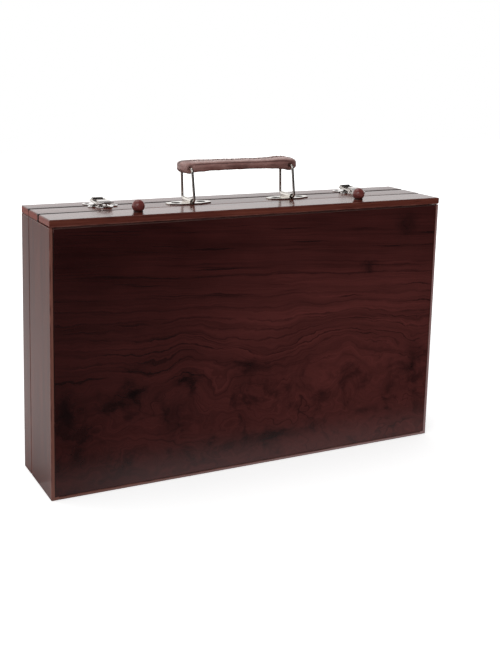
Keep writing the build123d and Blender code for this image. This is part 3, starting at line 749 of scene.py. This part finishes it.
def turned_knob(node, name):
    low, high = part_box(node)
    radius = (high.x - low.x) / 2
    axis = Vector(((low.x + high.x) / 2, (low.y + high.y) / 2, 0))
    ball_middle = high.z - radius
    outline = [(0, low.z), (foot_share * radius, low.z),
               (foot_share * radius, low.z + foot_height),
               (groove_share * radius, low.z + groove_height)]
    turn = [ball_start + i * ball_sweep / ball_steps for i in range(ball_steps + 1)]
    outline += [(radius * cos(a), ball_middle + radius * sin(a)) for a in turn]
    points = [axis + Vector((r, 0, z)) for r, z in outline]
    mesh = bpy.data.meshes.new(name)
    mesh.from_pydata(points, [(i, i + 1) for i in range(len(points) - 1)], [])
    knob = bpy.data.objects.new(name, mesh)
    scene.collection.objects.link(knob)
    edit(knob, kind="VERT")
    bpy.ops.mesh.spin(steps=steps_round, angle=2 * pi, center=axis, axis=(0, 0, 1))
    bpy.ops.mesh.select_all(action="SELECT")
    bpy.ops.mesh.remove_doubles(threshold=0.01 * mm)
    bpy.ops.mesh.normals_make_consistent(inside=False)
    close_edit()
    dress(knob, "drawer", "knob_wood", knob_wood)
    only(knob)
    bpy.ops.object.shade_smooth_by_angle(angle=radians(40))
    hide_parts(node)


for side in ("left", "right"):
    turned_knob(f"knob_{side}", f"knob_{side}_turned")

# %% [markdown]
# ## Plated metal
# The handle's wires and plates and the two toggle latches are thin bright-plated steel. Metal is
# all reflection, so its material is short: a pale grey with a metallic value of one, a little
# roughness from cheap polishing, and faint ripples, because thin pressed sheet is never flat.
# Round the screws of the handle's plates the metal is painted with dark, dull rings.

# %% Metal materials
SCREW_RING_DARK = (0.030, 0.020, 0.016, 1)
SCREW_DARK = (0.012, 0.009, 0.008, 1)
SCREW_WORN = (0.055, 0.044, 0.038, 1)


def plated(name, colour, gloss, ripple=0.25, grime=0.82, screws=()):
    """A plated metal. Dark, dull rings are painted round each of the screws, given by X and Y."""
    material, tree, shader = new_material(name)
    ripples = speckle(tree, (170, 170, 170), (1, 2, 3), 1, 0.5)
    marks = speckle(tree, (600, 600, 600), (4, 2, 7), 3, 0.6)
    colour = shaded(1.0, colour, marks, (0.34, grime), (0.50, 1.0))
    wear = from_to(marks, 0.3, 0.7, gloss + 0.07, gloss, "LINEAR")
    metallic = 1.0
    if screws:
        flat = add_node(tree, "VectorMath", {0: on_piece(tree), 1: (1, 1, 0)},
                        operation="MULTIPLY").outputs[0]
        torn = product(marks, 2.2 * mm)
        ringed = 0.0
        for x, y in screws:
            away = add_node(tree, "VectorMath", {0: flat, 1: (x, y, 0)}, operation="DISTANCE")
            away = maths("ADD", away.outputs["Value"], torn)
            ring = from_to(away, 4.6 * mm, 6.0 * mm, 0.96, 0.0)
            ringed = maths("MAXIMUM", ringed, ring)
        colour = blend_colours(ringed, colour, SCREW_RING_DARK)
        wear = maths("MAXIMUM", wear, product(ringed, 0.75))
        metallic = maths("SUBTRACT", 1.0, ringed)
    set_inputs(shader, {"Base Color": colour, "Metallic": metallic, "Roughness": wear})
    roughen(shader, ripples, 0.16 * mm, ripple)
    return material


screw_offset = 12 * mm      # from the middle of a handle plate to each of its screws
low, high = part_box("handle_plate_left")
plate_row = (low.y + high.y) / 2
plate_screws = [(sum(c.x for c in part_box(f"handle_plate_{side}")) / 2 + way * screw_offset,
                 plate_row) for side in ("left", "right") for way in (-1, 1)]
nickel = plated("bright_nickel", (0.74, 0.70, 0.675, 1), 0.11)
nickel_edge = plated("nickel_edge", (0.82, 0.80, 0.77, 1), 0.12, 0.1, 0.9)
# Painted shade: the arrises of the handle plates are painted dark along the plates' edges.
plate_rim_shade = plated("plate_edge", (0.20, 0.165, 0.145, 1), 0.3, 0.1, 0.7)
handle_plate = plated("handle_plate_nickel", (0.72, 0.68, 0.63, 1), 0.17, 0.6, 0.75, plate_screws)
wire = plated("nickel_wire", (0.68, 0.645, 0.60, 1), 0.18, 0.1, 0.8)
steel = plated("grip_steel", (0.42, 0.41, 0.40, 1), 0.30, 0.2, 0.7)
brass = plated("hinge_brass", (0.72, 0.52, 0.25, 1), 0.22, 0.2, 0.7)
brass_screws = plated("dark_brass_screws", (0.20, 0.13, 0.06, 1), 0.32, 0.2, 0.6)
screw_black, tree, shader = new_material("blackened_screws")
marks = speckle(tree, (900, 900, 900), (4, 2, 7), 3, 0.6)
colour = ramp(marks, (0.35, SCREW_DARK), (0.62, SCREW_WORN))
set_inputs(shader, {"Base Color": colour, "Roughness": 0.60, "Specular IOR Level": 0.05})

# %% Plates, levers and hinge leaves with softened edges
pressed_edge = 0.14 * mm
for side in ("left", "right"):
    for node, body in ((f"handle_plate_{side}", "case"), (f"latch_base_{side}", "case"),
                       (f"keeper_{side}", "lid"),
                       (f"latch_lever_{side}", f"latch_{side}_lever")):
        finishes = (nickel, nickel_edge)
        if node.startswith("handle_plate"):
            finishes = (handle_plate, plate_rim_shade)
        eased(node, node + "_pressed", body, "nickel", pressed_edge, 0.0, finishes)
    for node, body in ((f"hinge_{side}_case_leaf", "case"), (f"hinge_{side}_lid_leaf", "lid")):
        eased(node, node + "_pressed", body, "brass", pressed_edge, 0.0, (brass, brass))

# %% Wires, pins and screws
for node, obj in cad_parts.items():
    slot = obj.material_slots[0].material.name
    if node.endswith("screws"):
        finish = brass_screws if slot == "brass" else screw_black
    elif node.startswith(("bail", "latch_loop")):
        finish = wire
    else:
        finish = {"nickel": nickel, "steel": steel, "brass": brass}.get(slot)
    if finish:
        obj.material_slots[0].material = finish

# %% [markdown]
# ## The padded grip
# The grip is a steel strip wrapped in soft leatherette that is sewn together along the top. It is
# soft goods, so it is blown up rather than drawn: a slack tube of cloth with a little pressure
# inside, held along the seam and at the two wires. The tube starts as a cube with rounded edges.
# It is remeshed evenly, drawn in at the waist, bent a little and inflated by the cloth
# simulation. Then the seam, the hollows round the wires and the creases are pressed into it.

# %% Where the grip is
wire_radius = 1.15 * mm
cover_low, cover_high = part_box("grip_cover")
cover_middle = (cover_low + cover_high) / 2
cover_size = cover_high - cover_low
wire_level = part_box("bail_left")[1].z - wire_radius
wire_rows = [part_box(f"bail_{side}")[0].x + wire_radius for side in ("left", "right")]
print("grip:", [round(v / mm, 1) for v in cover_size], "mm")

# %% Leatherette material
LEATHER_DARK = (0.208, 0.090, 0.078, 1)
LEATHER = (0.296, 0.143, 0.126, 1)
LEATHER_PALE = (0.390, 0.212, 0.190, 1)
LEATHER_SHEEN = (0.62, 0.440, 0.410, 1)
CREASE_SHADE = (0.045, 0.012, 0.010, 1)
SLIT_SHADE = (0.040, 0.022, 0.016, 1)
CREASE_RISE = 0.70         # how high the long crease of each flank lies, from 0 to 1
leatherette, tree, shader = new_material("grip_leatherette")
pebbles = add_node(tree, "TexVoronoi", {"Vector": stretched(tree, (1500, 1500, 1500)),
                                        "Scale": 1.0}, feature="DISTANCE_TO_EDGE").outputs[0]
creases = speckle(tree, (90, 260, 260), (2, 5, 1), 4, 0.6)
clouds = speckle(tree, (45, 70, 70), (9, 2, 4), 3, 0.5)
colour = ramp(clouds, (0.30, LEATHER_DARK), (0.50, LEATHER), (0.72, LEATHER_PALE))
colour = shaded(0.7, colour, creases, (0.36, 0.62), (0.50, 1.0))
# How high a point is in its own slice of the grip, from 0 at the bottom to 1 at the top.
rise = add_node(tree, "Attribute", attribute_name="rise").outputs["Fac"]
along = x_y_z(on_piece(tree))["X"]
between = from_to(maths("ABSOLUTE", along), 0.045, 0.053, 1.0, 0.0)
# A painted sheen makes the leatherette pale along its top, and painted light makes its left end a
# little paler.
pale_and_sheen = product(from_to(rise, CREASE_RISE + 0.03, 0.90, 0.0, 0.88),
                 ramp(creases, (0.35, grey(0.6)), (0.55, grey(1.0))),
                 maths("ADD", 0.3, product(between, 0.7)))
pale_and_sheen = maths("MAXIMUM", pale_and_sheen, from_to(along, -0.060, -0.047, 0.22, 0.0))
colour = blend_colours(pale_and_sheen, colour, LEATHER_SHEEN)
# Painted shade along the long crease of each flank.
off = maths("ABSOLUTE", maths("SUBTRACT", rise, CREASE_RISE))
crease = product(from_to(off, 0.02, 0.075, 0.56, 0.0), between)
colour = blend_colours(crease, colour, CREASE_SHADE)
# Painted shade in the slit along the top.
slit = product(near_row(tree, cover_middle.y, 0.6 * mm, 1.0 * mm, 0.9),
               from_to(rise, 0.80, 0.88, 0.0, 1.0))
colour = blend_colours(slit, colour, SLIT_SHADE)
set_inputs(shader, {"Base Color": colour, "Roughness": 0.34})
relief = maths("ADD", product(pebbles, 0.5), product(creases, 1.2))
roughen(shader, relief, 0.22 * mm, 0.8)

# %% The slack tube
slack = 0.5 * mm
upright_round, top_round, bottom_round = 6.4 * mm, 1.8 * mm, 3.4 * mm
half_height = (cover_size.z - slack) / 2
bpy.ops.mesh.primitive_cube_add(size=1, location=cover_middle)
grip = bpy.context.object
grip.name = "grip_padded_cover"
grip.scale = cover_size - Vector((2 * slack, slack, slack))
settle(grip)
edit(grip, lambda e: abs((e.verts[0].co - e.verts[1].co).z) > 5 * mm)
bpy.ops.mesh.bevel(offset=upright_round, segments=6, affect="EDGES")
close_edit()
for level, offset in ((half_height, top_round), (-half_height, bottom_round)):
    edit(grip, lambda e: all(abs(v.co.z - cover_middle.z - level) < 0.01 * mm for v in e.verts))
    bpy.ops.mesh.bevel(offset=offset, segments=5, affect="EDGES")
    close_edit()
remesh = grip.modifiers.new("even_cloth", "REMESH")
remesh.mode = "VOXEL"
remesh.voxel_size = 0.95 * mm
apply_all(grip)
smooth = grip.modifiers.new("soften", "SMOOTH")
smooth.factor, smooth.iterations = 0.5, 3
apply_all(grip)

# %% Its waist, its round ends and its bend
waist_width, arch, droop, sag = 0.78, 1.5 * mm, 1.7 * mm, 0.5 * mm
round_length, round_narrowing = 10.0 * mm, 0.46
level_share = 0.28          # the middle part, which doesn't droop
crown, lean = 1.5 * mm, 0.10
lump_place, lump_length, lump_height = 41 * mm, 9 * mm, 0.9 * mm


def ends_share(x):
    """0 in the middle of the grip, 1 at its ends."""
    return min(1.0, abs(x - cover_middle.x) / (cover_size.x / 2)) ** 2


for v in grip.data.vertices:
    share = ends_share(v.co.x)
    up = (v.co.z - cover_low.z) / cover_size.z
    width = waist_width + (1 - waist_width) * share
    v.co.y = cover_middle.y + (v.co.y - cover_middle.y) * width
    across = (v.co.y - cover_middle.y) / (cover_size.y / 2)
    past = abs(v.co.x - cover_middle.x) - (cover_size.x / 2 - round_length)
    if past < 0:
        drooping = max(0.0, share - level_share) / (1 - level_share)
    else:
        drooping = 1 - 0.5 * past / round_length
        narrow = 1 - round_narrowing * (past / round_length) ** 2.6
        v.co.z = cover_middle.z + (v.co.z - cover_middle.z) * narrow
    v.co.z += (1 - up) * (arch * (1 - share) - droop * drooping) - up * sag * (1 - share)
    v.co.z += up * (lean * (v.co.y - cover_middle.y) - crown * abs(across) ** 1.6)
    lump = (v.co.x - cover_middle.x - lump_place) / lump_length
    v.co.z += up * lump_height * exp(-lump * lump)
print("grip cloth:", len(grip.data.vertices), "points")


# %% Blowing it up
def near_wire(co):
    """Distance from the nearest wire's axis, in the plane square to it."""
    return min(sqrt((co.x - x) ** 2 + (co.z - wire_level) ** 2) for x in wire_rows)


def held_share(co):
    on_top = co.z > cover_middle.z and abs(co.y - cover_middle.y) < 1.3 * mm
    at_wire = near_wire(co) < 2.4 * mm
    return 1.0 if on_top or at_wire else 0.0


def inflate(piece, pressure, furthest, held):
    """Blows a piece up by the cloth simulation, and lets no point move further than furthest."""
    start = [v.co.copy() for v in piece.data.vertices]
    group = piece.vertex_groups.new(name="held")
    for v in piece.data.vertices:
        group.add([v.index], held(v.co), "REPLACE")
    cloth = piece.modifiers.new("cloth", "CLOTH")
    cloth.settings.effector_weights.gravity = 0.0
    cloth.settings.use_pressure = True
    cloth.settings.uniform_pressure_force = pressure
    cloth.settings.vertex_group_mass = "held"
    cloth.settings.tension_stiffness = 25
    cloth.settings.compression_stiffness = 25
    cloth.settings.bending_stiffness = 0.6
    for number in range(1, 21):
        scene.frame_set(number)
    apply_all(piece)
    scene.frame_set(1)
    for v, before in zip(piece.data.vertices, start):
        move = v.co - before
        if move.length > furthest:
            v.co = before + move.normalized() * furthest
    piece.vertex_groups.clear()


inflate(grip, 5.0, 0.6 * mm, held_share)
finer = grip.modifiers.new("finer", "SUBSURF")
finer.levels = finer.render_levels = 1
apply_all(grip)

# %% The seam and the hollows round the wires
seam_depth, seam_reach, seam_from_end = 0.9 * mm, 1.8 * mm, 7 * mm
hollow_depth, hollow_radius, hollow_from = 3.0 * mm, 3.8 * mm, 4 * mm
for v in grip.data.vertices:
    wide = abs(v.co.y - cover_middle.y)
    inside = abs(v.co.x - cover_middle.x) < cover_size.x / 2 - seam_from_end
    if inside and v.co.z > cover_middle.z and wide < seam_reach:
        v.co.z -= seam_depth * (1 + cos(pi * wide / seam_reach)) / 2
    gap = near_wire(v.co)
    if gap < hollow_radius and wide > hollow_from:
        side = 1 if v.co.y > cover_middle.y else -1
        v.co.y -= side * hollow_depth * (1 + cos(pi * gap / hollow_radius)) / 2

# %% The long crease of each flank, with a bulge below it
fold_depth, fold_from = 0.45 * mm, 3 * mm
crease_reach, bulge_below, bulge_reach = 0.09, 0.24, 0.22
crease_end, crease_fade = 52 * mm, 6 * mm
slice_length = 2 * mm
slices = {}
for v in grip.data.vertices:
    key = round(v.co.x / slice_length)
    low, high = slices.get(key, (1.0, 0.0))
    slices[key] = (min(low, v.co.z), max(high, v.co.z))
rises = []
for v in grip.data.vertices:
    low, high = slices[round(v.co.x / slice_length)]
    rises.append((v.co.z - low) / max(high - low, mm))
    above = rises[-1] - CREASE_RISE
    crease = max(0.0, 1 - abs(above) / crease_reach)
    bulge = max(0.0, 1 - abs(above + bulge_below) / bulge_reach)
    fade = min(1.0, max(0.0, (crease_end - abs(v.co.x - cover_middle.x)) / crease_fade))
    if abs(v.co.y - cover_middle.y) > fold_from:
        v.co += v.normal * fade * fold_depth * (bulge ** 1.5 - crease ** 1.5)
grip.data.attributes.new("rise", "FLOAT", "POINT").data.foreach_set("value", rises)

# %% Small wrinkles, deeper at the ends
for v in grip.data.vertices:
    end = max(0.0, ends_share(v.co.x) - 0.35) / 0.65
    ridge = noise.noise(Vector((v.co.x * 230, v.co.y * 110, v.co.z * 260)))
    pucker = noise.noise(Vector((v.co.x * 420, v.co.y * 60, v.co.z * 90 + 7)))
    fold = noise.noise(Vector((v.co.x * 120 - v.co.z * 190, 3, v.co.z * 60)))
    v.co += v.normal * ((0.14 + 0.30 * end) * ridge + 0.16 * pucker + 0.35 * fold) * mm
dress(grip, "grip", "leatherette", leatherette)
only(grip)
bpy.ops.object.shade_smooth()
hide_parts("grip_cover")

# %% [markdown]
# ## The stitches
# The slit is closed by a row of slanting stitches in a pale, waxed thread. Each is a short rod of
# thread that thins and dives into the cover at both ends, so one rod is divided along its length
# and bent down, and then copied along the seam.

# %% Thread material
THREAD_DARK = (0.42, 0.29, 0.26, 1)
THREAD_PALE = (0.78, 0.64, 0.60, 1)
thread, tree, shader = new_material("pale_thread")
twist = speckle(tree, (2600, 900, 900), (1, 1, 1), 1, 0.5)
colour = ramp(twist, (0.32, THREAD_DARK), (0.60, THREAD_PALE))
set_inputs(shader, {"Base Color": colour, "Roughness": 0.55})
roughen(shader, twist, 0.1 * mm, 0.8)

# %% One stitch
stitch_pitch, stitch_length, stitch_radius = 4.6 * mm, 4.8 * mm, 0.45 * mm
stitch_slant, stitch_dive, stitch_taper = radians(38), 0.75 * mm, 0.35
bpy.ops.mesh.primitive_cylinder_add(vertices=8, radius=stitch_radius, depth=stitch_length,
                                    rotation=(0, radians(90), 0))
pattern = bpy.context.object
settle(pattern)
edit(pattern, lambda e: abs((e.verts[0].co - e.verts[1].co).x) > 2 * mm)
bpy.ops.mesh.subdivide(number_cuts=6)
close_edit()
for v in pattern.data.vertices:
    share = abs(v.co.x) / (stitch_length / 2)
    v.co.z -= stitch_dive * share ** 3
    v.co.y *= 1 - stitch_taper * share ** 2

# %% Stitches along the slit
seam_length = cover_size.x - 24 * mm
stitch_count = int(seam_length / stitch_pitch)
stitch_lift = 0.02 * mm
surface = {}
for v in grip.data.vertices:
    if v.co.z > cover_middle.z and abs(v.co.y - cover_middle.y) < 2.4 * mm:
        key = round((v.co.x - cover_middle.x) / slice_length)
        surface[key] = max(surface.get(key, 0.0), v.co.z)
stitches = []
for i in range(stitch_count):
    x = (i - (stitch_count - 1) / 2) * stitch_pitch
    top = surface[round(x / slice_length)]
    one = bpy.data.objects.new(f"stitch_{i}", pattern.data.copy())
    scene.collection.objects.link(one)
    one.location = (cover_middle.x + x, cover_middle.y, top + stitch_lift)
    one.rotation_euler = (atan(lean), 0, stitch_slant)
    stitches.append(one)
bpy.data.objects.remove(pattern)
only(stitches[0])
for one in stitches:
    one.select_set(True)
bpy.ops.object.join()
seam_thread = bpy.context.object
seam_thread.name = "grip_stitches"
settle(seam_thread)
dress(seam_thread, "grip", "leatherette", thread)
bpy.ops.object.shade_smooth()
print("stitches:", stitch_count)
